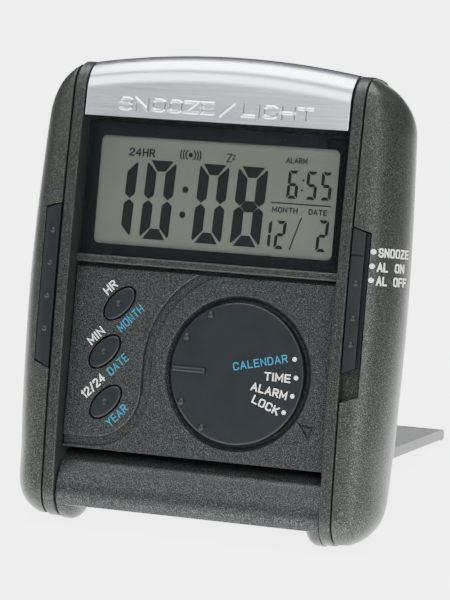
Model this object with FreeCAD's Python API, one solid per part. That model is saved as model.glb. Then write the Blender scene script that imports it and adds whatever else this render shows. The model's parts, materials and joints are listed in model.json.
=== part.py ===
import FreeCAD, Part
import math
import os

# Fold-up travel alarm clock, millimetres.
# Local frame while building: X to the viewer's right, Y from the front strips to the back,
# Z up along the face.  The cover's hinge axis runs along X at Y = AXIS_Y, Z = 0.
# place() leans the finished shape back and sets it on the table at Z = 0.

V = FreeCAD.Vector

# ---- driving dimensions -------------------------------------------------------------------
LEAN = 16.0              # housing leans back by this angle when the stand is out
COVER_UP = 6.4           # open cover plate rises by this angle towards the back, local frame
DEPTH = 21.0             # thickness of the housing
SPLIT_Y = 13.5           # plane between the front and rear case mouldings
STRIP_IN = 28.6          # inner face of the two front strips
STRIP_OUT = 31.0         # outer face of the strips, where the side rails start
AXIS_Y = 8.7             # hinge axis behind the strip fronts
CASE_TOP = 87.3
BACK_R = 9.5             # round along the top of the back
BACK_Y = DEPTH - BACK_R
BACK_Z = CASE_TOP - BACK_R
BOW_R = 640.0            # front of the strips bows along this radius
BOW_Z = 45.4
FACE_Y = 3.8             # control panel and window sit this far behind the strips
PANEL_T = 1.5
WEB_Y0 = FACE_Y + PANEL_T
WEB_Y1 = 6.8
PANEL_TOP = 45.4
RIB_Z0 = 46.3
RIB_Z1 = 48.0
WINDOW_Z0 = 48.1
WINDOW_Z1 = 75.1
GROOVE_W = 0.35          # shadow groove between a strip and its rail
GROOVE_D = 0.8
COVER_LEN = 75.0         # hinge axis to the free edge of the cover
COVER_T = 2.2
COVER_W = 28.3           # half width of the cover
KNUCKLE_R = 6.25
FOOT_R = 6.1             # axis to the flat the clock rests on
PIN_R = 1.5
STOP_GAP = 0.3           # open cover to the bottom of the housing
DIAL_X = 8.23
DIAL_Z = 26.4
DIAL_HOLE_R = 14.6
DIAL_RING_R = 15.65
DIAL_R = 14.25
DIAL_SHAFT_R = 3.0
RUN = 0.05               # radial clearance of a running fit
BUTTON_A = 4.4           # half axes of the oval button holes
BUTTON_B = 2.45
BUTTON_TILT = 48.0
BUTTON_SPOTS = (("hour_button", -18.35, 38.4), ("minute_button", -20.71, 28.45),
                ("format_button", -19.57, 18.34))
BUTTON_GAP = 0.3
BUTTON_TRAVEL = 0.5
SNOOZE_Z0 = 76.0
SNOOZE_SIDE = 87.4
SNOOZE_CROWN = 89.7
SNOOZE_TRAVEL = 0.7
SLIDER_TRAVEL = 5.6
SLOT_Y = 2.6             # floor of the slider slot and of the grip recess
BOARD_Y0 = 8.2
BOARD_T = 1.0
CELL_R = 5.2
CELL_L = 44.4
CELL_Y = 14.75
CELL_Z = (19.6, 31.0)
DOOR_HALF = 24.3
DOOR_Z0 = 13.5
DOOR_Z1 = 37.5
BACK_T = 1.4
WALL_T = 1.4
BOSS_SPOTS = ((-25.4, 43.0), (25.4, 43.0), (-25.4, 78.0), (25.4, 78.0))

SIN_L = math.sin(math.radians(LEAN))
COS_L = math.cos(math.radians(LEAN))
GROUND = -AXIS_Y * SIN_L - FOOT_R


# ---- helpers ------------------------------------------------------------------------------
def box(x0, x1, y0, y1, z0, z1):
    return Part.makeBox(x1 - x0, y1 - y0, z1 - z0, V(x0, y0, z0))


def cyl_y(x, z, r, y0, y1):
    return Part.makeCylinder(r, y1 - y0, V(x, y0, z), V(0, 1, 0))


def cyl_x(y, z, r, x0, x1):
    return Part.makeCylinder(r, x1 - x0, V(x0, y, z), V(1, 0, 0))


def cyl_z(x, y, r, z0, z1):
    return Part.makeCylinder(r, z1 - z0, V(x, y, z0), V(0, 0, 1))


def fuse(shapes):
    out = shapes[0]
    for extra in shapes[1:]:
        out = out.fuse(extra)
    return out.removeSplitter()


def prism_x(points, x0, x1):
    """Straight-edged outline in Y, Z swept from x0 to x1."""
    pts = [V(x0, y, z) for y, z in points]
    wire = Part.makePolygon(pts + [pts[0]])
    return Part.Face(wire).extrude(V(x1 - x0, 0, 0))


def prism_y(points, y0, y1):
    """Straight-edged outline in X, Z swept from y0 to y1."""
    pts = [V(x, y0, z) for x, z in points]
    wire = Part.makePolygon(pts + [pts[0]])
    return Part.Face(wire).extrude(V(0, y1 - y0, 0))


def arc(a, m, b, x):
    return Part.Arc(V(x, a[0], a[1]), V(x, m[0], m[1]), V(x, b[0], b[1])).toShape()


def line(a, b, x):
    return Part.makeLine(V(x, a[0], a[1]), V(x, b[0], b[1]))


def fillet_some(shape, radius, pick):
    """Round the edges that pick() accepts; keep the sharp shape if the kernel cannot."""
    edges = [e for e in shape.Edges if pick(e)]
    if not edges:
        return shape
    try:
        rounded = shape.makeFillet(radius, edges)
    except Exception:
        return shape
    if rounded.isValid() and rounded.Volume > 0:
        return rounded
    return shape


def oval(x, z, half_a, half_b, tilt, y0, y1):
    """Elliptical column along Y, long axis tilted up from +X."""
    ellipse = Part.Ellipse(V(0, 0, 0), half_a, half_b)
    face = Part.Face(Part.Wire([ellipse.toShape()]))
    solid = face.extrude(V(0, 0, y1 - y0))
    solid.rotate(V(0, 0, 0), V(0, 0, 1), -tilt)
    solid.rotate(V(0, 0, 0), V(1, 0, 0), -90)
    solid.translate(V(x, y0, z))
    return solid


def round_plate(x0, x1, z0, z1, r, y0, y1):
    plate = box(x0, x1, y0, y1, z0, z1)

    def upright(e):
        d = e.Vertexes[0].Point - e.Vertexes[-1].Point
        return abs(d.x) < 1e-6 and abs(d.z) < 1e-6 and abs(d.y) > 1e-6
    return fillet_some(plate, r, upright)


def bow(z):
    return (z - BOW_Z) ** 2 / (2.0 * BOW_R)


def front_y(z):
    if z > 81.2:
        return 7.1 - math.sqrt(max(6.1 ** 2 - (z - 81.2) ** 2, 0.0))
    if z < 0.1:
        return 7.6 - math.sqrt(max(36.0 - (z - 0.1) ** 2, 0.0))
    return bow(z)


def back_y(z):
    if z > BACK_Z:
        return BACK_Y + math.sqrt(max(BACK_R ** 2 - (z - BACK_Z) ** 2, 0.0))
    if z < 7.5:
        return 7.6 + math.sqrt(max(13.4 ** 2 - (7.5 - z) ** 2, 0.0))
    return DEPTH


def side_slab(x0, x1):
    """Full side profile of the housing between two X planes."""
    h = math.sqrt(0.5)
    edges = [
        arc((7.6, -5.9), (7.6 - 6 * h, 0.1 - 6 * h), (1.6, 0.1), x0),
        arc((1.6, 0.1), (0.0, BOW_Z), (1.0, 81.2), x0),
        arc((1.0, 81.2), (7.1 - 6.1 * h, 81.2 + 6.1 * h), (7.1, CASE_TOP), x0),
        line((7.1, CASE_TOP), (BACK_Y, CASE_TOP), x0),
        arc((BACK_Y, CASE_TOP), (BACK_Y + BACK_R * h, BACK_Z + BACK_R * h), (DEPTH, BACK_Z), x0),
        line((DEPTH, BACK_Z), (DEPTH, 7.5), x0),
        arc((DEPTH, 7.5), (7.6 + 13.4 * h, 7.5 - 13.4 * h), (7.6, -5.9), x0),
    ]
    return Part.Face(Part.Wire(edges)).extrude(V(x1 - x0, 0, 0))


def under_z(y, lift):
    """Height of the plane parallel to the open cover's outer face."""
    a = math.radians(COVER_UP)
    return (AXIS_Y + lift + (y - AXIS_Y) * math.sin(a)) / math.cos(a)


def below_plane(lift, half):
    """Everything under that plane between the legs."""
    pts = [(-5.0, -30.0), (40.0, -30.0), (40.0, under_z(40.0, lift)), (-5.0, under_z(-5.0, lift))]
    return prism_x(pts, -half, half)


def band(lift0, lift1, y0, y1, half):
    pts = [(y0, under_z(y0, lift0)), (y1, under_z(y1, lift0)),
           (y1, under_z(y1, lift1)), (y0, under_z(y0, lift1))]
    return prism_x(pts, -half, half)


def place(shape):
    s = shape.copy()
    s.rotate(V(0, 0, 0), V(1, 0, 0), -LEAN)
    s.translate(V(0, -SHIFT_Y, -GROUND))
    return s


# ---- housing ------------------------------------------------------------------------------
def make_front_case():
    keep = box(-40, 40, -2, SPLIT_Y, -10, 95)
    legs = []
    for x0, x1 in ((-STRIP_OUT, -STRIP_IN), (STRIP_IN, STRIP_OUT)):
        legs.append(side_slab(x0, x1).common(keep))
    web = box(-STRIP_IN, STRIP_IN, WEB_Y0, WEB_Y1, 5.0, 84.4)
    rib = box(-STRIP_IN, STRIP_IN, 3.2, WEB_Y0, RIB_Z0, RIB_Z1)
    rib = fillet_some(rib, 0.5, lambda e: abs(e.CenterOfMass.y - 3.2) < 1e-3 and e.Length > 30)
    roof = box(-STRIP_IN, STRIP_IN, WEB_Y0, SPLIT_Y, 83.0, 84.4)
    floor = band(STOP_GAP, STOP_GAP + WALL_T, WEB_Y0, SPLIT_Y, STRIP_IN)
    case = fuse(legs + [web, rib, roof, floor])
    case = case.cut(below_plane(STOP_GAP, STRIP_IN))
    case = case.cut(round_plate(-27.4, 27.4, 48.9, 74.4, 0.4, 4.0, 8.0))
    case = case.cut(cyl_y(DIAL_X, DIAL_Z, DIAL_SHAFT_R + RUN, 4.0, 8.0))
    for _, x, z in BUTTON_SPOTS:
        case = case.cut(cyl_y(x, z, 1.2 + RUN, 4.0, 8.0))
    case = case.cut(cyl_x(AXIS_Y, 0.0, PIN_R, -STRIP_OUT - 1, STRIP_OUT + 1))
    for x, z in BOSS_SPOTS:
        boss = cyl_y(x, z, 2.3, WEB_Y1, SPLIT_Y)
        case = case.fuse(boss)
        case = case.cut(cyl_y(x, z, 0.95, WEB_Y1 + 1.0, SPLIT_Y + 1))
    for x in (-12.0, 12.0):
        case = case.fuse(cyl_z(x, 9.6, 0.9, 84.4, 85.6))
    case = case.fuse(box(-3.0, 3.0, 8.0, 11.0, 81.0, 83.0))
    case = case.removeSplitter()
    return fillet_some(case, 0.35, strip_front_edge)


def strip_front_edge(e):
    c = e.CenterOfMass
    on_wall = abs(abs(c.x) - STRIP_IN) < 1e-3 or abs(abs(c.x) - STRIP_OUT) < 1e-3
    return on_wall and c.y < 1.4 and e.Length > 40


def make_rear_case():
    keep = box(-40, 40, SPLIT_Y, DEPTH + 2, -10, 95)
    case = side_slab(-STRIP_OUT, STRIP_OUT).common(keep)
    case = case.cut(below_plane(STOP_GAP, STRIP_IN))
    hollow = box(-STRIP_IN, STRIP_IN, SPLIT_Y - 1, DEPTH - BACK_T, 5.0, CASE_TOP - WALL_T - 0.8)
    hollow = hollow.cut(below_plane(STOP_GAP + WALL_T, STRIP_IN + 1))
    round_in = cyl_x(BACK_Y, BACK_Z, BACK_R - WALL_T, -STRIP_IN, STRIP_IN)
    corner = box(-STRIP_IN, STRIP_IN, BACK_Y, DEPTH, BACK_Z, CASE_TOP).cut(round_in)
    hollow = hollow.cut(corner)
    case = case.cut(hollow)
    case = case.cut(round_plate(-DOOR_HALF, DOOR_HALF, DOOR_Z0, DOOR_Z1, 1.5, 18.0, 23.0))
    for x, z in BOSS_SPOTS:
        case = case.fuse(cyl_y(x, z, 2.3, SPLIT_Y, DEPTH - BACK_T))
        case = case.cut(cyl_y(x, z, 1.15, SPLIT_Y - 1, DEPTH + 1))
        case = case.cut(cyl_y(x, z, 2.0, DEPTH - 1.5, DEPTH + 1))
    for i in range(5):
        z = 56.0 + 2.6 * i
        slot = round_plate(-6.0, 6.0, z, z + 1.2, 0.55, 18.0, 23.0)
        case = case.cut(slot)
    lip = round_plate(-DOOR_HALF - 0.2, DOOR_HALF + 0.2, DOOR_Z1 - 1.2, DOOR_Z1 + 0.6, 0.3,
                      19.0, 19.6)
    case = case.fuse(lip)
    case = case.removeSplitter()
    return fillet_some(case, 0.4, lambda e: False)


def rail_nose(z):
    """Outermost X of a side rail at height z."""
    if z > 75.0:
        return 27.0 + math.sqrt(max(144.0 - (0.97 * (z - 75.0)) ** 2, 0.0))
    if z < 2.6:
        return 30.6 + math.sqrt(max(8.5 ** 2 - (z - 2.6) ** 2, 0.0))
    if z > 40.0:
        return 39.0 + 1.2 * math.cos(math.pi * (z - 40.0) / 70.0)
    return 39.1 + 1.1 * math.sin(math.pi * (z - 2.6) / 74.8)


def rail_section(z):
    x_nose = rail_nose(z)
    y_front = front_y(z) + 0.12
    y_back = back_y(z) - 0.9
    y_mid = y_front + 0.5 * (y_back - y_front)
    points = []
    for i in range(13):
        t = math.pi * i / 12.0
        fullness = 0.8 if i < 6 else 1.0
        s = math.sin(t) ** fullness if 0 < i < 12 else 0.0
        half = 0.5 * (y_back - y_front)
        points.append(V(STRIP_OUT + (x_nose - STRIP_OUT) * s, y_mid - half * math.cos(t), z))
    curve = Part.BSplineCurve()
    curve.interpolate(points)
    return Part.Wire([curve.toShape(), Part.makeLine(points[-1], points[0])])


RAIL_STATIONS = (-5.4, -4.2, -2.2, 0.6, 5.0, 12.0, 22.0, 34.0, 46.0, 58.0, 68.0, 75.0, 78.0,
                 80.5, 82.5, 84.0, 85.2, 86.0, 86.5)


def rail_blank():
    """Right rail with a narrow groove along the strip beside it."""
    solid = Part.makeLoft([rail_section(z) for z in RAIL_STATIONS], True, False)
    sunk = solid.copy()
    sunk.translate(V(0, GROOVE_D, 0))
    groove = box(STRIP_OUT - 0.1, STRIP_OUT + GROOVE_W, -2.0, 9.0, -8.0, 90.0).cut(sunk)
    return solid.cut(groove)


def slot_outline(inset, low, high):
    x0 = STRIP_OUT + inset
    x1 = 34.9 - inset
    return [(x0, low), (x1, low + 1.5), (x1, high - 1.2), (x1 - 0.2, high - 1.0), (x0, high)]


def make_right_rail(blank):
    rail = blank.cut(prism_y(slot_outline(-0.01, 22.5, 57.4), -2.0, SLOT_Y))
    rail = rail.cut(box(31.8, 33.4, 2.0, 9.0, 33.9, 46.2))
    rail = rail.cut(box(30.9, 36.6, 6.0, 16.0, 12.0, 72.0))
    return rail


def make_alarm_slider(blank):
    skin = blank.copy()
    skin.translate(V(0, -0.18, 0))
    body = skin.common(prism_y(slot_outline(0.3, 28.4, 57.1), -2.0, SLOT_Y - 0.3))
    body = body.cut(prism_y([(33.9, 28.0), (35.0, 28.0), (35.0, 58.0), (33.9, 58.0)], -2.0, 1.15))
    groove_z = 51.7
    body = body.cut(box(31.0, 35.0, -2.0, bow(groove_z) + 0.25, groove_z - 0.2, groove_z + 0.2))
    for z in (46.2, 39.3, 34.2):
        body = body.fuse(Part.makeSphere(0.62, V(32.7, bow(z) + 0.25, z)))
    stem = box(32.1, 33.1, 1.8, 6.4, 40.0, 45.5)
    return fuse([body, stem])


def make_grip_insert(blank):
    left = blank.copy()
    left.translate(V(0, -0.15, 0))
    body = left.common(prism_y(slot_outline(0.25, 24.3, 57.7), -2.0, SLOT_Y))
    for z in (52.1, 45.5, 38.8, 32.1):
        body = body.fuse(Part.makeSphere(0.62, V(32.8, bow(z) + 0.27, z)))
    return mirror_x(body.removeSplitter())


def mirror_x(shape):
    return shape.mirror(V(0, 0, 0), V(1, 0, 0))


def make_left_rail(blank):
    rail = blank.cut(prism_y(slot_outline(-0.01, 24.0, 58.0), -2.0, SLOT_Y))
    rail = rail.cut(box(30.9, 36.6, 6.0, 16.0, 12.0, 72.0))
    return mirror_x(rail)


# ---- control face ---------------------------------------------------------------------------
def make_control_panel():
    low = under_z(FACE_Y, STOP_GAP + 0.1)
    panel = box(-COVER_W, COVER_W, FACE_Y, WEB_Y0, low, PANEL_TOP)
    panel = panel.cut(cyl_y(DIAL_X, DIAL_Z, DIAL_HOLE_R, 3.0, 6.0))
    dish = Part.makeCone(DIAL_RING_R, DIAL_HOLE_R + 0.15, 1.3, V(DIAL_X, FACE_Y, DIAL_Z), V(0, 1, 0))
    panel = panel.cut(dish)
    for _, x, z in BUTTON_SPOTS:
        panel = panel.cut(oval(x, z, BUTTON_A, BUTTON_B, BUTTON_TILT, 3.0, 6.0))
    depth = FACE_Y + 0.65
    ring = cyl_y(9.07, 26.98, 21.3, 3.0, depth).cut(cyl_y(9.07, 26.98, 19.5, 2.9, depth + 0.1))
    ring = ring.common(box(-13.0, 1.4, 2.0, 6.0, 26.98, 60.0))
    run_out = box(-40.0, -22.4, 3.0, depth, 21.15 - 11.97, 21.15 - 10.17)
    straight = box(-12.23, -10.43, 3.0, depth, 21.15, 26.98)
    tail = cyl_y(-22.4, 21.15, 11.97, 3.0, depth).cut(cyl_y(-22.4, 21.15, 10.17, 2.9, 6.0))
    tail = tail.common(box(-22.4, -8.0, 2.0, 6.0, 5.0, 21.15))
    groove = fuse([ring, straight, tail, run_out])
    panel = panel.cut(groove)
    panel = fillet_some(panel, 0.34, panel_front_edge)
    outer = prism_y([(21.9, 17.85), (25.8, 17.2), (24.35, 14.6)], 3.0, FACE_Y + 0.45)
    inner = prism_y([(22.9, 17.2), (24.75, 16.9), (24.1, 15.65)], 2.9, FACE_Y + 0.6)
    return panel.cut(outer.cut(inner))


def panel_front_edge(e):
    """Edges on the panel's front face, apart from its outline and the oval holes."""
    c = e.CenterOfMass
    if abs(c.y - FACE_Y) > 1e-3 or abs(c.x) > COVER_W - 0.2:
        return False
    if c.z > PANEL_TOP - 0.2 or c.z < 9.1:
        return False
    for _, x, z in BUTTON_SPOTS:
        if math.hypot(c.x - x, c.z - z) < 1.0:
            return False
    return True


def make_display_window():
    return round_plate(-COVER_W, COVER_W, WINDOW_Z0, WINDOW_Z1, 0.5, FACE_Y, FACE_Y + 1.0)


def make_display_frame():
    frame = box(-COVER_W, COVER_W, FACE_Y + 1.0, WEB_Y0, WINDOW_Z0, WINDOW_Z1)
    return frame.cut(round_plate(-25.86, 25.64, 50.33, 72.36, 1.2, 4.0, 6.0))


def make_lcd_glass():
    return box(-27.2, 27.2, WEB_Y0, WEB_Y0 + 2.0, 49.1, 74.2)


def make_backlight_panel():
    return box(-27.2, 27.2, WEB_Y0 + 2.0, WEB_Y0 + 3.2, 49.1, 74.2)


def make_lcd_ribbon():
    return box(-17.0, 17.0, WEB_Y0 + 3.2, WEB_Y0 + 3.4, 46.4, 52.0)


def make_dial():
    disc = cyl_y(DIAL_X, DIAL_Z, DIAL_R, FACE_Y - 0.4, 5.0)
    disc = fillet_some(disc, 0.45, lambda e: abs(e.CenterOfMass.y - (FACE_Y - 0.4)) < 1e-3)
    shaft = cyl_y(DIAL_X, DIAL_Z, DIAL_SHAFT_R, 4.5, 7.0)
    ridge = box(DIAL_X - 13.9, DIAL_X - 6.6, FACE_Y - 0.85, 4.4, DIAL_Z - 0.55, DIAL_Z + 0.55)
    ridge = fillet_some(ridge, 0.4, lambda e: abs(e.CenterOfMass.y - (FACE_Y - 0.85)) < 1e-3)
    dial = fuse([disc, shaft, ridge])
    for a in (120.0, 150.0, 210.0, 240.0):
        r = math.radians(a)
        spot = V(DIAL_X + 13.1 * math.cos(r), FACE_Y - 0.1, DIAL_Z + 13.1 * math.sin(r))
        dial = dial.fuse(Part.makeSphere(0.85, spot).common(box(-40, 40, 0, 4.5, 0, 60)))
    return dial.removeSplitter()


def make_dial_wiper():
    disc = cyl_y(DIAL_X, DIAL_Z, 8.0, 7.1, 7.5)
    disc = disc.cut(cyl_y(DIAL_X, DIAL_Z, 1.3, 7.0, 8.0))
    window = cyl_y(DIAL_X, DIAL_Z, 6.6, 7.0, 8.0).cut(cyl_y(DIAL_X, DIAL_Z, 4.4, 6.9, 8.1))
    window = window.common(box(0, DIAL_X + 1.0, 6.0, 9.0, 0, 60))
    return disc.cut(window)


def make_dial_screw():
    head = cyl_y(DIAL_X, DIAL_Z, 2.0, 7.5, 7.9)
    head = head.cut(box(DIAL_X - 3, DIAL_X + 3, 7.7, 8.0, DIAL_Z - 0.25, DIAL_Z + 0.25))
    return head.fuse(cyl_y(DIAL_X, DIAL_Z, 1.3, 7.0, 7.5)).removeSplitter()


def make_button(x, z):
    a = BUTTON_A - BUTTON_GAP
    b = BUTTON_B - BUTTON_GAP
    cap = oval(x, z, a, b, BUTTON_TILT, FACE_Y - 0.35, 4.7)
    cap = fillet_some(cap, 0.4, lambda e: abs(e.CenterOfMass.y - (FACE_Y - 0.35)) < 1e-3)
    cap = cap.cut(Part.makeSphere(0.8, V(x, FACE_Y - 0.85, z)))
    stem = cyl_y(x, z, 1.2, 4.5, 6.75)
    clip = cyl_y(x, z, 1.7, 6.9, 7.1)
    tail = cyl_y(x, z, 0.8, 6.7, 7.1)
    return fuse([cap, stem, tail, clip])


def make_key_mat():
    pads = []
    for _, x, z in BUTTON_SPOTS:
        pads.append(cyl_y(x, z, 2.4, 7.75, BOARD_Y0))
    strip = prism_y([(-21.5, 17.0), (-18.0, 17.0), (-17.0, 40.0), (-20.5, 40.0)], 8.0, BOARD_Y0)
    return fuse(pads + [strip])


# ---- electronics ----------------------------------------------------------------------------
def make_board():
    y1 = BOARD_Y0 + BOARD_T
    board = box(-22.8, 27.6, BOARD_Y0, y1, 12.6, 46.4)
    left = box(-27.6, -22.8, BOARD_Y0, y1, 12.6, 39.5)
    board = fuse([board, left])
    board = board.cut(cyl_y(25.4, 43.0, 2.6, 7.0, 11.0))
    return board


def make_clock_chip():
    y0 = 6.9
    body = box(20.4, 26.4, y0, BOARD_Y0 - 0.15, 30.0, 36.0)
    legs = []
    for i in range(5):
        z = 30.8 + 1.1 * i
        legs.append(box(19.6, 27.2, BOARD_Y0 - 0.3, BOARD_Y0, z - 0.2, z + 0.2))
    return fuse([body] + legs)


def make_quartz():
    can = Part.makeCylinder(0.6, 5.0, V(26.2, 7.55, 20.0), V(0, 0, 1))
    leads = box(26.0, 26.4, 7.3, BOARD_Y0, 18.4, 20.2)
    return fuse([can, leads])


def make_capacitor():
    can = Part.makeCylinder(1.9, 6.0, V(-9.0, 11.3, 40.6), V(1, 0, 0))
    lead_a = box(-9.6, -8.8, BOARD_Y0 + BOARD_T, 11.3, 40.3, 40.9)
    lead_b = box(-3.2, -2.4, BOARD_Y0 + BOARD_T, 11.3, 40.3, 40.9)
    return fuse([can, lead_a, lead_b])


def make_resistors():
    parts = []
    for x in (6.0, 9.0, 12.0):
        parts.append(box(x, x + 1.6, BOARD_Y0 + BOARD_T, BOARD_Y0 + BOARD_T + 0.5, 41.0, 41.9))
    return Part.makeCompound(parts)


def make_buzzer():
    disc = cyl_y(0.0, 61.2, 11.0, 18.6, 19.0)
    ceramic = cyl_y(0.0, 61.2, 8.0, 18.3, 18.6)
    return fuse([disc, ceramic])


def make_buzzer_holder():
    ring = cyl_y(0.0, 61.2, 12.2, 17.6, 19.6).cut(cyl_y(0.0, 61.2, 11.0, 18.6, 20.0))
    return ring.cut(cyl_y(0.0, 61.2, 9.6, 17.0, 19.0))


def make_cell(z, sign):
    half = 0.5 * CELL_L
    can = cyl_x(CELL_Y, z, CELL_R, -half, half - 1.0)
    nub = cyl_x(CELL_Y, z, 1.8, half - 1.0, half)
    cell = can.fuse(nub).removeSplitter()
    if sign < 0:
        cell = mirror_x(cell)
    return cell


def make_contacts():
    plates = []
    half = 0.5 * CELL_L
    for sx in (-1, 1):
        for z in CELL_Z:
            if sx < 0:
                x0, x1 = -half - 1.0, -half - 0.4
            else:
                x0, x1 = half + 0.4, half + 1.0
            plates.append(box(x0, x1, 11.0, 18.5, z - 3.6, z + 3.6))
            xa, xb = sorted((sx * half, sx * (half + 0.4)))
            plates.append(cyl_x(CELL_Y, z, 1.4, xa, xb))
    return Part.makeCompound([plates[0].fuse(plates[1]), plates[2].fuse(plates[3]),
                              plates[4].fuse(plates[5]), plates[6].fuse(plates[7])])


def make_cradle():
    """Moulded tray between the circuit board and the cells."""
    tray = box(-25.2, 25.2, 9.35, 17.0, 13.2, 37.6)
    tray = tray.cut(box(-23.3, 23.3, 9.0, 18.0, 13.9, 36.9))
    wall = box(-23.3, 23.3, 9.35, 11.0, 25.1, 25.5)
    return tray.fuse(wall).removeSplitter()


def make_battery_door():
    g = 0.3
    door = round_plate(-DOOR_HALF + g, DOOR_HALF - g, DOOR_Z0 + g, DOOR_Z1 - g, 1.3, 20.05, DEPTH)
    for i in range(4):
        z = 15.6 + 1.4 * i
        door = door.cut(box(-5.0, 5.0, DEPTH - 0.35, DEPTH + 1, z, z + 0.7))
    return door


def make_case_screws():
    parts = []
    for x, z in BOSS_SPOTS:
        head = cyl_y(x, z, 1.8, DEPTH - 1.5, DEPTH - 0.5)
        head = head.cut(box(x - 1.2, x + 1.2, DEPTH - 0.9, DEPTH, z - 0.2, z + 0.2))
        head = head.cut(box(x - 0.2, x + 0.2, DEPTH - 0.9, DEPTH, z - 1.2, z + 1.2))
        parts.append(head.fuse(cyl_y(x, z, 0.95, 9.0, DEPTH - 1.5)))
    return Part.makeCompound(parts)


# ---- snooze bar ------------------------------------------------------------------------------
def bar_section(x):
    """Side profile of the snooze bar at x: flush with the strips at the ends, crowned between."""
    half = STRIP_IN - 0.3
    rise = 1.0 - (x / half) ** 2
    top = SNOOZE_SIDE + (SNOOZE_CROWN - SNOOZE_SIDE) * rise
    front = 0.85 - 0.25 * rise
    r = 6.2
    h = math.sqrt(0.5)
    edges = [
        line((front - 0.2, SNOOZE_Z0), (front, top - r), x),
        arc((front, top - r), (front + r - r * h, top - r + r * h), (front + r, top), x),
        line((front + r, top), (13.2, top), x),
        line((13.2, top), (13.2, SNOOZE_Z0), x),
        line((13.2, SNOOZE_Z0), (front - 0.2, SNOOZE_Z0), x),
    ]
    return Part.Wire(edges)


def make_snooze_bar():
    half = STRIP_IN - 0.3
    stations = [half * k / 4.0 for k in range(-4, 5)]
    bar = Part.makeLoft([bar_section(x) for x in stations], True, False)
    bar = fillet_some(bar, 0.35, snooze_edge)
    bar = bar.cut(box(-26.9, 26.9, 2.6, 11.9, 70.0, 85.9))
    bar = bar.cut(box(-26.9, 26.9, 4.6, 14.0, 70.0, 85.9))
    bar = bar.cut(box(-40, 40, 4.6, 14.0, 70.0, 85.3))
    for x in (-12.0, 12.0):
        bar = bar.cut(cyl_z(x, 9.6, 2.3, 84.0, 86.6))
    return bar.removeSplitter()


def snooze_edge(e):
    c = e.CenterOfMass
    return abs(abs(c.x) - (STRIP_IN - 0.3)) < 1e-3 and c.y < 12.0


def make_snooze_spring(x):
    """Conical disc spring, drawn pressed flat enough for the bar's full travel."""
    low = Part.makeCone(2.0, 1.3, 0.45, V(x, 9.6, 84.42), V(0, 0, 1))
    high = Part.makeCone(1.8, 1.1, 0.45, V(x, 9.6, 84.40), V(0, 0, 1))
    inside = Part.makeCylinder(1.0, 2.0, V(x, 9.6, 84.0), V(0, 0, 1))
    return low.cut(high).cut(inside)


def make_snooze_switch():
    body = box(-2.4, 2.4, 8.2, 10.8, 84.4, 84.75)
    return body.fuse(cyl_z(0.0, 9.5, 0.9, 84.75, 85.05)).removeSplitter()


def make_slider_contact():
    spring = box(31.9, 33.3, 6.4, 6.7, 38.5, 47.0)
    return fuse([spring, box(32.1, 33.1, 6.7, 7.1, 38.5, 39.3)])


def make_slider_board():
    return box(31.3, 34.3, 7.4, 8.2, 26.0, 58.0)


# ---- cover, used as the stand --------------------------------------------------------------------
def cover_closed():
    """Cover shut over the face, hinge axis at the origin of Y and Z."""
    h = math.sqrt(0.5)
    half = COVER_W
    y0 = -AXIS_Y
    y1 = -AXIS_Y + COVER_T
    x0 = -half
    top = COVER_LEN
    edges = [
        line((y0, top - 1.1), (y0, 2.4), x0),
        arc((y0, 2.4), (-6.95, -2.6), (-2.6, -5.683), x0),
        arc((-2.6, -5.683), (0.0, -KNUCKLE_R), (2.53, -5.715), x0),
        arc((2.53, -5.715), (2.75, -4.85), (1.8, -4.02), x0),
        arc((1.8, -4.02), (-0.6, -4.36), (-2.6, -3.55), x0),
        arc((-2.6, -3.55), (-5.2, -1.2), (y1, 3.2), x0),
        line((y1, 3.2), (y1, top - 0.6), x0),
        line((y1, top - 0.6), (y1 + 0.4, top - 0.6), x0),
        line((y1 + 0.4, top - 0.6), (y1 + 0.4, top), x0),
        line((y1 + 0.4, top), (y0 + 1.1, top), x0),
        arc((y0 + 1.1, top), (y0 + 1.1 - 1.1 * h, top - 1.1 + 1.1 * h), (y0, top - 1.1), x0),
    ]
    shell = Part.Face(Part.Wire(edges)).extrude(V(2 * half, 0, 0))
    ends = []
    for a, b in ((-half, -24.8), (24.8, half)):
        disc = cyl_x(0.0, 0.0, KNUCKLE_R, a, b)
        disc = fillet_some(disc, 2.4, knuckle_inner_edge)
        ends.append(disc)
    lip = box(-half, half, y1 - 0.2, y1 + 1.2, top - 1.4, top)
    cover = fuse([shell] + ends + [lip])
    cover = cover.cut(cyl_x(0.0, 0.0, PIN_R + RUN, -half - 1, -24.5))
    cover = cover.cut(cyl_x(0.0, 0.0, PIN_R + RUN, 24.5, half + 1))
    return cover.removeSplitter()


def knuckle_inner_edge(e):
    return abs(abs(e.CenterOfMass.x) - 24.8) < 1e-3


def make_stand_cover():
    cover = cover_closed()
    cover.rotate(V(0, 0, 0), V(1, 0, 0), -(90.0 - COVER_UP))
    cover.translate(V(0, AXIS_Y, 0))
    return cover


def make_hinge_pin(sign):
    pin = cyl_x(AXIS_Y, 0.0, PIN_R, 25.3, STRIP_OUT)
    return pin if sign > 0 else mirror_x(pin)


def make_hinge_washer(sign):
    ring = cyl_x(AXIS_Y, 0.0, 3.2, COVER_W, STRIP_IN)
    ring = ring.cut(cyl_x(AXIS_Y, 0.0, PIN_R, COVER_W - 1, STRIP_IN + 1))
    return ring if sign > 0 else mirror_x(ring)


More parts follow.
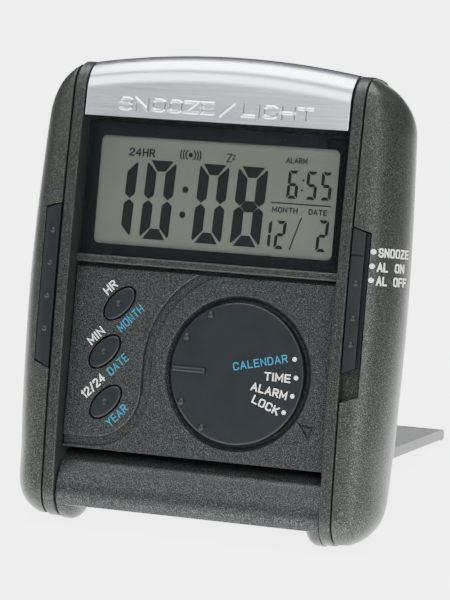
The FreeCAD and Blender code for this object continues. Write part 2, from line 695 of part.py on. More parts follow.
# ---- assembly ------------------------------------------------------------------------------------
def build():
    blank = rail_blank()
    nodes = {
        "front_case": make_front_case(),
        "rear_case": make_rear_case(),
        "right_side_rail": make_right_rail(blank),
        "left_side_rail": make_left_rail(blank),
        "left_grip_insert": make_grip_insert(blank),
        "control_panel": make_control_panel(),
        "display_window": make_display_window(),
        "display_frame": make_display_frame(),
        "lcd_glass": make_lcd_glass(),
        "backlight_panel": make_backlight_panel(),
        "lcd_ribbon": make_lcd_ribbon(),
        "circuit_board": make_board(),
        "clock_chip": make_clock_chip(),
        "quartz_crystal": make_quartz(),
        "capacitor": make_capacitor(),
        "chip_resistors": make_resistors(),
        "key_mat": make_key_mat(),
        "piezo_buzzer": make_buzzer(),
        "buzzer_holder": make_buzzer_holder(),
        "mode_dial": make_dial(),
        "dial_wiper": make_dial_wiper(),
        "dial_screw": make_dial_screw(),
        "snooze_bar": make_snooze_bar(),
        "snooze_spring_left": make_snooze_spring(-12.0),
        "snooze_spring_right": make_snooze_spring(12.0),
        "snooze_switch": make_snooze_switch(),
        "alarm_slider": make_alarm_slider(blank),
        "slider_contact": make_slider_contact(),
        "slider_board": make_slider_board(),
        "battery_cell_lower": make_cell(CELL_Z[0], 1),
        "battery_cell_upper": make_cell(CELL_Z[1], -1),
        "battery_contacts": make_contacts(),
        "battery_cradle": make_cradle(),
        "battery_door": make_battery_door(),
        "case_screws": make_case_screws(),
        "stand_cover": make_stand_cover(),
        "hinge_pin_left": make_hinge_pin(-1),
        "hinge_pin_right": make_hinge_pin(1),
        "hinge_washer_left": make_hinge_washer(-1),
        "hinge_washer_right": make_hinge_washer(1),
    }
    for name, x, z in BUTTON_SPOTS:
        nodes[name] = make_button(x, z)
    return nodes


# Centre of the footprint, from the front of the strips to the free edge of the stand.
SHIFT_Y = 42.465


def main():
    os.makedirs("parts", exist_ok=True)
    ground = Part.makeBox(300, 300, 50, V(-150, -150, -50))
    for name, shape in build().items():
        placed = place(shape)
        if name == "stand_cover":
            placed = placed.cut(ground)
        placed.exportStep("parts/" + name + ".step")


main()
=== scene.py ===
"""Looks for the folding travel alarm clock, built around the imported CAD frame."""
import json
import math

import bpy
from mathutils import Matrix, Vector
from mathutils.bvhtree import BVHTree


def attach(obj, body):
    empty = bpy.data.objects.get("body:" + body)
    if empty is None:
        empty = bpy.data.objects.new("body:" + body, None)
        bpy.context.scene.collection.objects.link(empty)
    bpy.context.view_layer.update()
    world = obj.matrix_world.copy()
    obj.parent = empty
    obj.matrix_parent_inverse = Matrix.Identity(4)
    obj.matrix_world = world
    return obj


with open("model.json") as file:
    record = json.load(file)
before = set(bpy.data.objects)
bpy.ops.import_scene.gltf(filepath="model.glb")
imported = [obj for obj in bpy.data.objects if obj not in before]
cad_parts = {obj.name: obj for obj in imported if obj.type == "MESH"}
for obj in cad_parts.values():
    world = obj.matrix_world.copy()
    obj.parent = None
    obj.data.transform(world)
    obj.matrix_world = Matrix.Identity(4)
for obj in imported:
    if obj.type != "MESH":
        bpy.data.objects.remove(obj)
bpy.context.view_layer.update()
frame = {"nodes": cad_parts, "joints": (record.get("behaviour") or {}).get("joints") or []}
MM = 0.001

# ---- the housing's own axes, read from the joints ----------------------------------------------
# Across the clock is +X. "Deep" runs from the face into the housing, "up" along the face.
JOINTS = {j["name"]: j for j in frame["joints"]}
DEEP = Vector(JOINTS["dial_turn"]["axis"]).normalized()
UP = -Vector(JOINTS["snooze_press"]["axis"]).normalized()
ACROSS = Vector((1.0, 0.0, 0.0))
PIN_DEPTH = 8.7           # the hinge axis lies this far behind the strips' fronts, depth 0
HINGE = Vector(JOINTS["cover_hinge"]["pos_m"]) - DEEP * PIN_DEPTH * MM

# ---- driving sizes of the print, in mm ---------------------------------------------------------
LCD_FACE = 5.3            # depth of the glass's front
PLATE_GAP = 0.02          # air between the glass and a display segment
PLATE_THICK = 0.04
DIAL = (8.23, 26.4)       # the dial's centre, across and up
DOT_CIRCLE = 12.65        # radius on which the dial's four dots lie
DOT_SIDES = 16
DOT_SINK = 0.02           # how far a printed dot reaches below the surface, and above it
DOT_HEIGHT = 0.05
STAND_OFF = 20.0          # a projection onto a CAD node starts this far in front of it
STROKE_LIFT = 0.012       # strokes lie at three heights, so that crossing ones never coincide
STROKE_STEP = 0.006
MITRE_LIMIT = 0.45        # smallest cosine that a stroke's corner is widened by
PANEL_CAP = 1.75          # letter heights
DIAL_CAP = 1.62
BAR_CAP = 2.7


def at(x, y, z):
    """Point of the housing's frame, in mm, as a scene position."""
    return HINGE + (ACROSS * x + DEEP * y + UP * z) * MM


# ---- materials ---------------------------------------------------------------------------------
# Noise scales are in cells per metre, bump heights in metres.
FLAKE_SCALE = 7200.0
PEEL_SCALE = 900.0
CLOUD_SCALE = 260.0
GRAIN_HEIGHT = 0.05 * MM
BRUSH_HEIGHT = 0.04 * MM


def new_material(name):
    m = bpy.data.materials.new(name)
    m.use_nodes = True
    nt = m.node_tree
    bsdf = nt.nodes["Principled BSDF"]
    return m, nt, bsdf


def coords(nt, scale=(1.0, 1.0, 1.0)):
    """Texture coordinates that ride with the object, scaled along each axis."""
    tex = nt.nodes.new("ShaderNodeTexCoord")
    mapping = nt.nodes.new("ShaderNodeMapping")
    mapping.inputs["Scale"].default_value = scale
    nt.links.new(tex.outputs["Object"], mapping.inputs["Vector"])
    return mapping.outputs["Vector"]


def noise(nt, vector, scale, detail, rough=0.5):
    n = nt.nodes.new("ShaderNodeTexNoise")
    n.inputs["Scale"].default_value = scale
    n.inputs["Detail"].default_value = detail
    n.inputs["Roughness"].default_value = rough
    nt.links.new(vector, n.inputs["Vector"])
    return n.outputs["Fac"]


def ramp(nt, fac, stops):
    r = nt.nodes.new("ShaderNodeValToRGB")
    elements = r.color_ramp.elements
    while len(elements) < len(stops):
        elements.new(0.5)
    for e, (pos, col) in zip(elements, stops):
        e.position = pos
        e.color = (*col, 1.0)
    nt.links.new(fac, r.inputs["Fac"])
    return r.outputs["Color"]


def to_range(nt, fac, low, high, a=0.0, b=1.0):
    r = nt.nodes.new("ShaderNodeMapRange")
    r.inputs["From Min"].default_value = a
    r.inputs["From Max"].default_value = b
    r.inputs["To Min"].default_value = low
    r.inputs["To Max"].default_value = high
    nt.links.new(fac, r.inputs["Value"])
    return r.outputs["Result"]


def bump(nt, bsdf, fac, strength, distance):
    b = nt.nodes.new("ShaderNodeBump")
    b.inputs["Strength"].default_value = strength
    b.inputs["Distance"].default_value = distance
    nt.links.new(fac, b.inputs["Height"])
    nt.links.new(b.outputs["Normal"], bsdf.inputs["Normal"])


def flake_paint(name, dark, light, roughness, metallic):
    """Dark metallic lacquer: fine bright flakes over a grey base, a little orange peel."""
    m, nt, bsdf = new_material(name)
    v = coords(nt)
    flakes = noise(nt, v, FLAKE_SCALE, 0.5)
    mid = tuple(0.7 * a + 0.3 * b for a, b in zip(dark, light))
    colour = ramp(nt, flakes, [(0.40, dark), (0.60, mid), (0.72, light)])
    nt.links.new(colour, bsdf.inputs["Base Color"])
    bsdf.inputs["Metallic"].default_value = metallic
    peel = noise(nt, v, PEEL_SCALE, 3.0)
    nt.links.new(to_range(nt, peel, roughness - 0.05, roughness + 0.07),
                 bsdf.inputs["Roughness"])
    bsdf.inputs["Specular IOR Level"].default_value = 0.20
    bump(nt, bsdf, flakes, 0.40, GRAIN_HEIGHT)
    return m


def moulded(name, colour, roughness, grain=2200.0, depth=0.10, vary=0.25):
    """Plain moulded plastic with a spark-eroded grain."""
    m, nt, bsdf = new_material(name)
    v = coords(nt)
    grain_fac = noise(nt, v, grain, 3.0, 0.6)
    low = tuple(c * (1 - vary) for c in colour)
    high = tuple(min(c * (1 + vary), 1.0) for c in colour)
    nt.links.new(ramp(nt, grain_fac, [(0.3, low), (0.7, high)]), bsdf.inputs["Base Color"])
    cloud = noise(nt, v, CLOUD_SCALE, 4.0)
    nt.links.new(to_range(nt, cloud, roughness - 0.06, roughness + 0.08),
                 bsdf.inputs["Roughness"])
    bsdf.inputs["Specular IOR Level"].default_value = 0.3
    bump(nt, bsdf, grain_fac, depth, GRAIN_HEIGHT)
    return m


def metal(name, colour, roughness, stretch=(1.0, 1.0, 1.0), scale=1500.0, depth=0.05):
    """Metal or plating; stretch draws the texture out along one axis as brush lines."""
    m, nt, bsdf = new_material(name)
    v = coords(nt, stretch)
    lines = noise(nt, v, scale, 4.0, 0.65)
    low = tuple(c * 0.90 for c in colour)
    nt.links.new(ramp(nt, lines, [(0.3, low), (0.7, colour)]), bsdf.inputs["Base Color"])
    bsdf.inputs["Metallic"].default_value = 1.0
    nt.links.new(to_range(nt, lines, roughness - 0.06, roughness + 0.08),
                 bsdf.inputs["Roughness"])
    bump(nt, bsdf, lines, depth, BRUSH_HEIGHT)
    return m


def clear_window(name):
    """Smoky clear plastic, almost invisible but for its reflections."""
    m, nt, bsdf = new_material(name)
    v = coords(nt)
    haze = noise(nt, v, 300.0, 3.0)
    bsdf.inputs["Base Color"].default_value = (0.02, 0.022, 0.024, 1.0)
    nt.links.new(to_range(nt, haze, 0.03, 0.06), bsdf.inputs["Roughness"])
    bsdf.inputs["Alpha"].default_value = 0.06
    bsdf.inputs["IOR"].default_value = 1.49
    return m


def ink(name, colour):
    """Dull print with a slight speckle."""
    m, nt, bsdf = new_material(name)
    v = coords(nt)
    speck = noise(nt, v, 5000.0, 2.0)
    low = tuple(c * 0.85 for c in colour)
    nt.links.new(ramp(nt, speck, [(0.35, low), (0.65, colour)]), bsdf.inputs["Base Color"])
    nt.links.new(to_range(nt, speck, 0.45, 0.55), bsdf.inputs["Roughness"])
    bsdf.inputs["Specular IOR Level"].default_value = 0.2
    return m


RAIL = flake_paint("rail_paint", (0.0125, 0.0145, 0.0127), (0.112, 0.119, 0.108), 0.36, 0.32)
CASE = flake_paint("case_paint", (0.0088, 0.0105, 0.0097), (0.098, 0.105, 0.098), 0.38, 0.40)
PANEL = flake_paint("panel_paint", (0.0074, 0.0095, 0.0097), (0.098, 0.107, 0.105), 0.42, 0.36)
COVER = flake_paint("cover_paint", (0.0085, 0.0105, 0.0105), (0.098, 0.107, 0.104), 0.38, 0.40)
SLATE = moulded("dark_plastic", (0.0045, 0.0075, 0.0092), 0.42)
GRIP = moulded("grip_plastic", (0.0045, 0.0070, 0.0086), 0.42)
SILVER = metal("silver_plate", (0.88, 0.89, 0.98), 0.22, (0.03, 1.0, 1.0), 2400.0, 0.06)
MASK = moulded("window_mask", (0.006, 0.0078, 0.0095), 0.20, 1800.0, 0.02, 0.1)
LCD = moulded("lcd", (0.086, 0.097, 0.080), 0.50, 2600.0, 0.03, 0.05)
INK_WHITE = ink("legend_white", (0.80, 0.80, 0.78))
INK_TEAL = ink("legend_teal", (0.020, 0.165, 0.265))
SEGMENT = ink("lcd_segment", (0.0025, 0.0032, 0.0036))
STEEL = metal("spring_steel", (0.55, 0.55, 0.55), 0.28)
BLACK = moulded("black_plastic", (0.016, 0.016, 0.016), 0.5)

NODE_MATERIALS = {
    "front_case": CASE, "rear_case": CASE, "right_side_rail": RAIL, "left_side_rail": RAIL,
    "left_grip_insert": GRIP, "alarm_slider": GRIP, "control_panel": PANEL,
    "display_window": clear_window("window"), "display_frame": MASK, "lcd_glass": LCD,
    "mode_dial": SLATE, "hour_button": SLATE, "minute_button": SLATE,
    "format_button": SLATE, "snooze_bar": SILVER, "stand_cover": COVER,
    "battery_door": CASE,
    "backlight_panel": moulded("light_guide", (0.70, 0.75, 0.72), 0.3),
    "lcd_ribbon": moulded("ribbon", (0.35, 0.16, 0.04), 0.4),
    "circuit_board": moulded("board_green", (0.02, 0.14, 0.05), 0.35, 900.0),
    "slider_board": moulded("slider_board_green", (0.02, 0.13, 0.05), 0.35, 900.0),
    "clock_chip": BLACK, "snooze_switch": BLACK, "buzzer_holder": BLACK,
    "battery_cradle": BLACK, "hinge_washer_left": BLACK, "hinge_washer_right": BLACK,
    "quartz_crystal": metal("can_metal", (0.62, 0.62, 0.62), 0.25),
    "capacitor": metal("capacitor_can", (0.60, 0.60, 0.62), 0.3),
    "chip_resistors": moulded("ceramic", (0.42, 0.38, 0.30), 0.5),
    "key_mat": moulded("silicone", (0.25, 0.25, 0.25), 0.6),
    "piezo_buzzer": metal("brass_disc", (0.72, 0.53, 0.22), 0.3),
    "dial_wiper": STEEL, "snooze_spring_left": STEEL, "snooze_spring_right": STEEL,
    "slider_contact": STEEL, "dial_screw": STEEL,
    "battery_cell_lower": moulded("cell_jacket", (0.05, 0.06, 0.09), 0.3),
    "battery_cell_upper": moulded("cell_jacket_b", (0.05, 0.06, 0.09), 0.3),
    "battery_contacts": metal("nickel", (0.70, 0.68, 0.64), 0.22),
    "case_screws": metal("screw_steel", (0.12, 0.12, 0.13), 0.35),
    "hinge_pin_left": metal("pin_steel", (0.50, 0.50, 0.50), 0.25, (0.1, 1, 1)),
    "hinge_pin_right": metal("pin_steel_b", (0.50, 0.50, 0.50), 0.25, (0.1, 1, 1)),
}
for node_name, node_object in frame["nodes"].items():
    node_object.data.materials.clear()
    node_object.data.materials.append(NODE_MATERIALS[node_name])


# ---- print, letters and display segments -------------------------------------------------------
TREES = {}


def tree_of(node):
    """Search tree of a CAD node's faces, made once for each node."""
    if node not in TREES:
        mesh = frame["nodes"][node].data
        verts = [v.co.copy() for v in mesh.vertices]
        TREES[node] = BVHTree.FromPolygons(verts, [list(p.vertices) for p in mesh.polygons])
    return TREES[node]


def drop_on(node, point, direction):
    """Where a straight line from point along direction first meets a CAD node, or point itself
    where it meets nothing."""
    hit = tree_of(node).ray_cast(point, direction)[0]
    return point if hit is None else hit


def make_piece(name, verts, faces, material, body):
    """A new object that rides on a CAD body."""
    mesh = bpy.data.meshes.new(name)
    mesh.from_pydata([tuple(v) for v in verts], [], faces)
    mesh.update()
    piece = bpy.data.objects.new(name, mesh)
    bpy.context.scene.collection.objects.link(piece)
    mesh.materials.append(material)
    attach(piece, body)


# Each letter is a few strokes in a box one unit high; the last number is its width.
LETTERS = {
    "A": ([[(0, 0), (0.34, 1), (0.68, 0)], [(0.11, 0.33), (0.57, 0.33)]], 0.68),
    "C": ([[(0.62, 0.76), (0.62, 0.86), (0.48, 1), (0.14, 1), (0, 0.86), (0, 0.14), (0.14, 0),
            (0.48, 0), (0.62, 0.14), (0.62, 0.24)]], 0.62),
    "D": ([[(0, 0), (0, 1), (0.42, 1), (0.62, 0.8), (0.62, 0.2), (0.42, 0), (0, 0)]], 0.62),
    "E": ([[(0.56, 1), (0, 1), (0, 0), (0.56, 0)], [(0, 0.5), (0.5, 0.5)]], 0.56),
    "F": ([[(0.56, 1), (0, 1), (0, 0)], [(0, 0.5), (0.5, 0.5)]], 0.56),
    "G": ([[(0.60, 0.88), (0.48, 1), (0.14, 1), (0, 0.86), (0, 0.14), (0.14, 0), (0.48, 0),
            (0.62, 0.14), (0.62, 0.40), (0.38, 0.40)]], 0.62),
    "H": ([[(0, 0), (0, 1)], [(0.62, 0), (0.62, 1)], [(0, 0.5), (0.62, 0.5)]], 0.62),
    "I": ([[(0, 0), (0, 1)]], 0.0),
    "K": ([[(0, 0), (0, 1)], [(0.6, 1), (0, 0.36)], [(0.19, 0.56), (0.62, 0)]], 0.62),
    "L": ([[(0, 1), (0, 0), (0.54, 0)]], 0.54),
    "M": ([[(0, 0), (0, 1), (0.39, 0.25), (0.78, 1), (0.78, 0)]], 0.78),
    "N": ([[(0, 0), (0, 1), (0.62, 0), (0.62, 1)]], 0.62),
    "O": ([[(0.14, 0), (0, 0.14), (0, 0.86), (0.14, 1), (0.48, 1), (0.62, 0.86), (0.62, 0.14),
            (0.48, 0), (0.14, 0)]], 0.62),
    "R": ([[(0, 0), (0, 1), (0.44, 1), (0.58, 0.87), (0.58, 0.61), (0.44, 0.48), (0, 0.48)],
           [(0.3, 0.48), (0.6, 0)]], 0.60),
    "S": ([[(0.58, 0.8), (0.58, 0.87), (0.45, 1), (0.13, 1), (0, 0.87), (0, 0.64), (0.13, 0.52),
            (0.45, 0.48), (0.59, 0.36), (0.59, 0.13), (0.45, 0), (0.13, 0), (0, 0.13),
            (0, 0.2)]], 0.59),
    "T": ([[(0, 1), (0.62, 1)], [(0.31, 1), (0.31, 0)]], 0.62),
    "Y": ([[(0, 1), (0.33, 0.46), (0.66, 1)], [(0.33, 0.46), (0.33, 0)]], 0.66),
    "Z": ([[(0, 1), (0.58, 1), (0, 0), (0.58, 0)]], 0.58),
    "1": ([[(0, 0.8), (0.2, 1), (0.2, 0)]], 0.2),
    "2": ([[(0, 0.8), (0, 0.87), (0.13, 1), (0.43, 1), (0.57, 0.87), (0.57, 0.62), (0, 0.1),
            (0, 0), (0.57, 0)]], 0.57),
    "4": ([[(0.46, 0), (0.46, 1), (0, 0.3), (0.62, 0.3)]], 0.62),
    "/": ([[(0, -0.08), (0.42, 1.06)]], 0.42),
    " ": ([], 0.2),
}


def word_strokes(text, cap, width, stroke, gap):
    """Stroke centre lines of a word: left end at u = 0, baseline at v = 0, sizes in mm."""
    raw = sum(LETTERS[c][1] for c in text) + gap * (len(text) - 1)
    su = (width - stroke) / raw
    sv = cap - stroke
    lines, pen = [], 0.0
    for c in text:
        for path in LETTERS[c][0]:
            lines.append([(0.5 * stroke + (pen + x) * su, 0.5 * stroke + y * sv)
                          for x, y in path])
        pen += LETTERS[c][1] + gap
    return lines


def refine(path, step):
    """The same path with extra points, none further apart than step."""
    out = [path[0]]
    for (ax, ay), (bx, by) in zip(path, path[1:]):
        n = max(1, math.ceil(math.hypot(bx - ax, by - ay) / step))
        out += [(ax + (bx - ax) * i / n, ay + (by - ay) * i / n) for i in range(1, n + 1)]
    return out


def ribbon(path, stroke, section, lift):
    """Closed ribbon along a path in (u, v), drawn out by half a stroke at each free end. section
    is (share of half width, height) points."""
    closed = path[0] == path[-1]
    pts = path[:-1] if closed else path
    n = len(pts)
    rows = []
    for i, p in enumerate(pts):
        before = pts[i - 1] if (i > 0 or closed) else None
        after = pts[(i + 1) % n] if (i < n - 1 or closed) else None
        dirs = []
        if before is not None:
            dirs.append(Vector((p[0] - before[0], p[1] - before[1])).normalized())
        if after is not None:
            dirs.append(Vector((after[0] - p[0], after[1] - p[1])).normalized())
        tangent = (dirs[0] + dirs[-1]).normalized()
        normal = Vector((-tangent.y, tangent.x))
        cosine = max(abs(normal.dot(Vector((-dirs[0].y, dirs[0].x)))), MITRE_LIMIT)
        base = Vector(p)
        if before is None:
            base -= dirs[0] * 0.5 * stroke
        elif after is None:
            base += dirs[0] * 0.5 * stroke
        rows.append([(base + normal * (s * 0.5 * stroke / cosine), lift + height)
                     for s, height in section])
    verts = [(q.x, q.y, w) for row in rows for q, w in row]
    m = len(section)
    faces = []
    for i in range(n if closed else n - 1):
        j = (i + 1) % n
        for k in range(m):
            k2 = (k + 1) % m
            faces.append([i * m + k, i * m + k2, j * m + k2, j * m + k])
    if not closed:
        faces.append(list(reversed(range(m))))
        faces.append([(n - 1) * m + k for k in range(m)])
    return verts, faces


# Stroke sections: print lies flat, and raised letters have sloping sides that start sunk in.
FLAT = [(-1.0, 0.0), (-1.0, 0.04), (1.0, 0.04), (1.0, 0.0)]
RAISED = [(-1.0, -0.10), (-1.0, -0.01), (-0.34, 0.21), (0.34, 0.21), (1.0, -0.01), (1.0, -0.10)]


def letters(name, text, x, z, cap, width, node, body, material, stroke, angle=0.0, anchor=0.0,
            section=FLAT, turn=0.0, step=5.0, gap=0.34):
    """Letters laid on a CAD node, turned by angle within its surface. anchor 0 puts the lower
    left corner at (x, z), and 0.5 the middle. turn swings the projection round UP, for legends
    on the side of a rail. step is the longest straight stretch, for following a curved face."""
    a = math.radians(angle)
    t = math.radians(turn)
    sideways = ACROSS * math.cos(t) + DEEP * math.sin(t)
    inward = DEEP * math.cos(t) - ACROSS * math.sin(t)
    origin = drop_on(node, at(x, -STAND_OFF, z), DEEP)
    verts, faces = [], []
    for index, path in enumerate(word_strokes(text, cap, width, stroke, gap)):
        lift = STROKE_LIFT + STROKE_STEP * (index % 3)
        vs, fs = ribbon(refine(path, step), stroke, section, lift)
        base = len(verts)
        for u, v, w in vs:
            u -= anchor * width
            v -= anchor * cap
            du = u * math.cos(a) - v * math.sin(a)
            dv = u * math.sin(a) + v * math.cos(a)
            start = origin + (sideways * du + UP * dv - inward * STAND_OFF) * MM
            verts.append(drop_on(node, start, inward) - inward * w * MM)
        faces += [[base + i for i in f] for f in fs]
    make_piece(name, verts, faces, material, body)


def prism_faces(base, n):
    """Faces of a closed prism whose two rings of n vertices follow each other from base."""
    sides = []
    for i in range(n):
        j = (i + 1) % n
        sides.append([base + j, base + i, base + n + i, base + n + j])
    return [[base + i for i in range(n)], [base + n + i for i in reversed(range(n))]] + sides


def lcd_plates(name, outlines):
    """Thin dark plates just in front of the glass, one for each outline of (x, z) points."""
    verts, faces = [], []
    back = LCD_FACE - PLATE_GAP
    for points in outlines:
        faces += prism_faces(len(verts), len(points))
        for depth in (back, back - PLATE_THICK):
            verts += [at(x, depth, z) for x, z in points]
    make_piece(name, verts, faces, SEGMENT, "housing")


def dot_outline(x, z, r, count=20):
    steps = [2 * math.pi * i / count for i in range(count)]
    return [(x + r * math.cos(s), z + r * math.sin(s)) for s in steps]


def segment_outlines(lit, x0, z0, w, h, t, slant, gap):
    """Outlines of one seven-segment digit, w wide, h high and t thick in the stroke, with mitred,
    slightly blunted corners and gap between segments. It leans by slant of its height."""
    mid = 0.5 * h
    g = 0.5 * gap
    k = 0.30 * t          # how far an outer corner is cut back
    p = 0.42 * t          # length of the point where two upright segments meet
    shapes = {
        "a": [(k + g, h), (w - k - g, h), (w - t - g, h - t), (t + g, h - t)],
        "d": [(k + g, 0), (t + g, t), (w - t - g, t), (w - k - g, 0)],
        "f": [(0, h - 1.2 * k - g), (0.35 * k, h - 0.55 * k - g), (t, h - t - g - 0.1 * t),
              (t, mid + g + p), (0.5 * t, mid + g), (0, mid + g + p)],
        "e": [(0, 1.2 * k + g), (0, mid - g - p), (0.5 * t, mid - g), (t, mid - g - p),
              (t, t + g + 0.1 * t), (0.35 * k, 0.55 * k + g)],
        "g": [(0.55 * t + g, mid), (t + g, mid + 0.5 * t), (w - t - g, mid + 0.5 * t),
              (w - 0.55 * t - g, mid), (w - t - g, mid - 0.5 * t), (t + g, mid - 0.5 * t)],
    }
    for left, right in (("f", "b"), ("e", "c")):
        shapes[right] = [(w - x, z) for x, z in reversed(shapes[left])]
    return [[(x0 + x + slant * z, z0 + z) for x, z in shapes[s]] for s in lit]


LIT = {"0": "abcdef", "1": "bc", "2": "abged", "5": "afgcd", "6": "afgecd", "8": "abcdefg"}

# Each row is (figure, left edge, foot, width, height).
TIME = (("1", -24.40, 51.85, 6.35, 15.9), ("0", -16.05, 51.85, 6.35, 16.0),
        ("0", -4.62, 51.85, 6.35, 16.0), ("8", 3.68, 51.85, 6.35, 16.0))
ALARM_AND_DATE = (("6", 14.85, 62.05, 2.30, 5.65), ("5", 18.80, 62.10, 2.30, 5.65),
                  ("5", 21.90, 62.15, 2.30, 5.65), ("1", 9.95, 51.95, 2.30, 5.65),
                  ("2", 13.05, 51.90, 2.25, 5.65), ("2", 21.90, 51.95, 2.30, 6.30))


def digits(name, rows, stroke, slant, gap):
    outlines = []
    for figure, x0, z0, w, h in rows:
        outlines += segment_outlines(LIT[figure], x0, z0, w, h, stroke, slant, gap)
    lcd_plates(name, outlines)


def ring_arc(x, z, r, t, a0, a1):
    """Outline of an arc of a ring, from radius r to r + t, between two angles in degrees."""
    steps = 12
    angles = [math.radians(a0 + (a1 - a0) * i / steps) for i in range(steps + 1)]
    outer = [(x + (r + t) * math.cos(a), z + (r + t) * math.sin(a)) for a in angles]
    inner = [(x + r * math.cos(a), z + r * math.sin(a)) for a in reversed(angles)]
    return outer + inner


def lcd_marks():
    """Colons, the line under the alarm time, the date's slash and the sound mark."""
    marks = [dot_outline(-6.79, 62.35, 0.66), dot_outline(-6.99, 57.28, 0.66),
             dot_outline(18.22, 65.83, 0.22, 12), dot_outline(18.08, 63.87, 0.22, 12)]
    marks.append([(11.8, 60.95), (24.5, 60.95), (24.5, 61.17), (11.8, 61.17)])
    marks.append([(16.30, 51.9), (16.55, 51.9), (18.60, 58.4), (18.35, 58.4)])
    sound = (-6.25, 69.38)
    wave_thick = 0.24
    marks.append(dot_outline(*sound, 0.46))
    for r, half in ((0.95, 58), (1.5, 36), (2.05, 26)):
        for middle in (0, 180):
            marks.append(ring_arc(*sound, r, wave_thick, middle - half, middle + half))
    lcd_plates("lcd_marks", marks)


def display_content():
    digits("lcd_time_digits", TIME, 2.18, 0.040, 0.20)
    digits("lcd_small_digits", ALARM_AND_DATE, 0.64, 0.030, 0.12)
    lcd_marks()
    for name, text, x, z, cap, width, stroke in (
            ("lcd_word_hours", "24HR", -19.66, 68.45, 1.65, 5.65, 0.30),
            ("lcd_word_alarm", "ALARM", 14.24, 69.1, 1.15, 4.5, 0.19),
            ("lcd_word_month", "MONTH", 12.13, 59.15, 1.12, 5.4, 0.20),
            ("lcd_word_date", "DATE", 19.87, 59.15, 1.12, 3.9, 0.20),
            ("lcd_mark_sleep", "Z", 1.55, 68.45, 1.75, 1.15, 0.22),
            ("lcd_mark_doze", "Z", 2.75, 68.95, 1.0, 0.7, 0.18)):
        letters(name, text, x, z, cap, width, "lcd_glass", "housing", SEGMENT, stroke=stroke)


def key_legends():
    tilt = 46.0
    stroke = 0.22
    for name, text, x, z, width, material in (
            ("legend_hour", "HR", -20.65, 41.5, 2.9, INK_WHITE),
            ("legend_month", "MONTH", -15.7, 35.6, 6.7, INK_TEAL),
            ("legend_minute", "MIN", -22.9, 31.5, 3.9, INK_WHITE),
            ("legend_date", "DATE", -17.6, 26.1, 5.2, INK_TEAL),
            ("legend_format", "12/24", -22.6, 21.3, 5.9, INK_WHITE),
            ("legend_year", "YEAR", -16.9, 15.8, 5.4, INK_TEAL)):
        letters(name, text, x, z, PANEL_CAP, width, "control_panel", "housing", material,
                angle=tilt, anchor=0.5, stroke=stroke)


def raised_dots(name, node, body, places, r):
    """Round white dots draped on a node as low closed discs, at (x, z) places."""
    verts, faces = [], []
    for place in places:
        rim = dot_outline(*place, r, DOT_SIDES)
        faces += prism_faces(len(verts), DOT_SIDES)
        for lift in (-DOT_SINK, DOT_HEIGHT):
            for x, z in rim:
                verts.append(drop_on(node, at(x, -STAND_OFF, z), DEEP) - DEEP * lift * MM)
    make_piece(name, verts, faces, INK_WHITE, body)


def dial_legends():
    cx, cz = DIAL
    for name, text, x, z, angle, width, material in (
            ("legend_calendar", "CALENDAR", -0.6, 0.6, 13.0, 11.6, INK_TEAL),
            ("legend_time", "TIME", 6.0, -0.7, -1.0, 5.5, INK_WHITE),
            ("legend_alarm", "ALARM", 3.3, -2.9, -10.0, 7.7, INK_WHITE),
            ("legend_lock", "LOCK", 3.7, -5.3, -21.0, 6.0, INK_WHITE)):
        letters(name, text, cx + x, cz + z, DIAL_CAP, width, "mode_dial", "dial", material,
                angle=angle, stroke=0.23)
    turns = [math.radians(a) for a in (18.2, 1.3, -15.5, -32.3)]
    places = [(cx + DOT_CIRCLE * math.cos(a), cz + DOT_CIRCLE * math.sin(a)) for a in turns]
    raised_dots("dial_dots", "mode_dial", "dial", places, 0.42)


def rail_legends():
    places = ((35.50, 52.70), (35.46, 49.85), (35.50, 47.10))
    raised_dots("rail_dots", "right_side_rail", "housing", places, 0.48)
    for name, text, x, z, width in (
            ("legend_snooze", "SNOOZE", 36.40, 51.75, 7.2),
            ("legend_on", "AL  ON", 36.35, 48.90, 6.3),
            ("legend_off", "AL  OFF", 36.40, 46.20, 7.1)):
        letters(name, text, x, z, PANEL_CAP, width, "right_side_rail", "housing", INK_WHITE,
                angle=1.0, stroke=0.26, turn=32.0, step=0.25)


def bar_letters():
    foot = 77.3
    for name, text, x, width in (("emboss_snooze", "SNOOZE", -20.9, 20.7),
                                 ("emboss_slash", "/", 0.9, 3.3),
                                 ("emboss_light", "LIGHT", 5.6, 15.2)):
        letters(name, text, x, foot, BAR_CAP, width, "snooze_bar", "snooze", SILVER,
                stroke=0.66, section=RAISED, step=0.6, gap=0.26)


display_content()
key_legends()
dial_legends()
rail_legends()
bar_letters()


# ---- stage, light and camera, in metres --------------------------------------------------------
def along(nt, vector, axis):
    """Dot product of a vector socket with a fixed axis."""
    node = nt.nodes.new("ShaderNodeVectorMath")
    node.operation = "DOT_PRODUCT"
    nt.links.new(vector, node.inputs[0])
    node.inputs[1].default_value = axis
    return node.outputs["Value"]


def calc(nt, operation, first, second=None):
    """Maths on a value socket, with a number or with another socket."""
    node = nt.nodes.new("ShaderNodeMath")
    node.operation = operation
    nt.links.new(first, node.inputs[0])
    if isinstance(second, float):
        node.inputs[1].default_value = second
    elif second is not None:
        nt.links.new(second, node.inputs[1])
    return node.outputs["Value"]


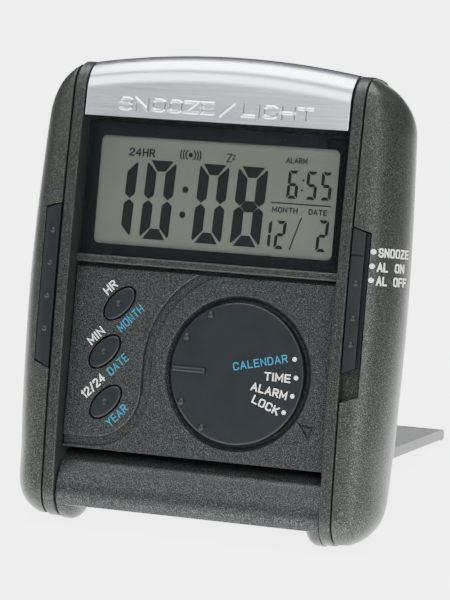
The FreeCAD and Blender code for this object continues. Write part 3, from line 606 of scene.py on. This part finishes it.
def stage_floor():
    """Grey table that glows white in a lane behind the clock, and much less nearer the lens. The
    lane is a wedge along the line of sight, which opens out from its apex in front of the clock."""
    sight = (-0.36, 0.93, 0.0)
    across_sight = (0.93, 0.36, 0.0)
    apex = 0.8                   # distance from the clock
    shortest = 0.2               # keeps the share below finite at the apex
    lane_glow, side_glow = 4.6, 0.6
    lane_share, side_share = 0.10, 0.30
    dimmest = 0.10               # share of the glow that is left near the lens
    dim_until, full_from = -0.34, -0.06
    half_width = 6.0

    m, nt, bsdf = new_material("floor")
    v = coords(nt)
    soft = noise(nt, v, 3.0, 2.0)
    nt.links.new(ramp(nt, soft, [(0.3, (0.30, 0.30, 0.30)), (0.7, (0.32, 0.32, 0.32))]),
                 bsdf.inputs["Base Color"])
    bsdf.inputs["Roughness"].default_value = 0.9
    bsdf.inputs["Specular IOR Level"].default_value = 0.1
    bsdf.inputs["Emission Color"].default_value = (1.0, 1.0, 1.0, 1.0)
    aside = calc(nt, "ABSOLUTE", along(nt, v, across_sight))
    depth = calc(nt, "MAXIMUM", calc(nt, "ADD", along(nt, v, sight), apex), shortest)
    share = calc(nt, "DIVIDE", aside, depth)
    lane = to_range(nt, share, lane_glow, side_glow, lane_share, side_share)
    near = to_range(nt, along(nt, v, (0.0, 1.0, 0.0)), dimmest, 1.0, dim_until, full_from)
    nt.links.new(calc(nt, "MULTIPLY", lane, near), bsdf.inputs["Emission Strength"])

    mesh = bpy.data.meshes.new("floor")
    corners = [(x * half_width, y * half_width, 0) for x, y in ((-1, -1), (1, -1), (1, 1), (-1, 1))]
    mesh.from_pydata(corners, [], [(0, 1, 2, 3)])
    mesh.materials.append(m)
    floor = bpy.data.objects.new("floor", mesh)
    bpy.context.scene.collection.objects.link(floor)


def area_light(name, place, target, width, height, power):
    data = bpy.data.lights.new(name, "AREA")
    data.shape = "RECTANGLE"
    data.size = width
    data.size_y = height
    data.energy = power
    lamp = bpy.data.objects.new(name, data)
    lamp.location = place
    lamp.rotation_euler = (Vector(target) - Vector(place)).to_track_quat("-Z", "Y").to_euler()
    bpy.context.scene.collection.objects.link(lamp)


def room():
    """A world that is bright high in front and dark behind."""
    world = bpy.data.worlds.new("studio")
    world.use_nodes = True
    nt = world.node_tree
    tex = nt.nodes.new("ShaderNodeTexCoord")
    facing = along(nt, tex.outputs["Generated"], (0.0, -0.55, 0.80))
    shade = ramp(nt, to_range(nt, facing, 0.0, 1.0, -0.5, 1.0),
                 [(0.0, (0.08, 0.08, 0.085)), (0.35, (0.16, 0.16, 0.17)),
                  (0.70, (0.34, 0.34, 0.35)), (0.85, (0.62, 0.62, 0.64)),
                  (1.0, (1.15, 1.15, 1.18))])
    back = nt.nodes["Background"]
    nt.links.new(shade, back.inputs["Color"])
    back.inputs["Strength"].default_value = 0.62
    bpy.context.scene.world = world


def lights():
    """Soft boxes: two tall ones at the sides, and others in front, low down and above."""
    centre = (0.0, 0.0, 0.045)
    lower_half = (0.01, -0.01, 0.03)
    for name, place, target, width, height, power in (
            ("key_light", (0.33, -0.56, 0.26), centre, 0.10, 0.70, 1.6),
            ("side_light", (-0.58, -0.34, 0.26), centre, 0.09, 0.70, 0.8),
            ("front_light", (0.42, -0.40, 0.60), centre, 0.20, 0.20, 1.3),
            ("low_light", (0.19, -0.21, 0.07), lower_half, 0.08, 0.08, 0.16),
            ("bar_light", (-0.20, -0.50, 0.54), centre, 0.60, 0.32, 2.6),
            ("top_light", (0.0, 0.10, 0.75), centre, 0.90, 0.50, 14.0)):
        area_light(name, place, target, width, height, power)


def camera():
    """Long lens, 640 mm from a point near the middle of the clock, about 22 degrees round to the
    right and 15 above the table, and rolled by a degree."""
    round_right = math.radians(21.74)
    above = math.radians(14.72)
    roll = math.radians(-0.96)
    distance = 640.0 * MM
    aim = at(3.98, 4.70, 40.89)

    data = bpy.data.cameras.new("camera")
    data.sensor_width = 36.0
    data.lens = 192.0
    data.clip_start = 0.01
    data.clip_end = 50.0
    cam = bpy.data.objects.new("camera", data)
    bpy.context.scene.collection.objects.link(cam)
    turned = (Matrix.Rotation(round_right, 4, "Z")
              @ Matrix.Rotation(0.5 * math.pi - above, 4, "X")
              @ Matrix.Rotation(roll, 4, "Z"))
    backwards = turned.col[2].to_3d()
    cam.matrix_world = Matrix.Translation(aim + backwards * distance) @ turned
    bpy.context.scene.camera = cam


stage_floor()
room()
lights()
camera()
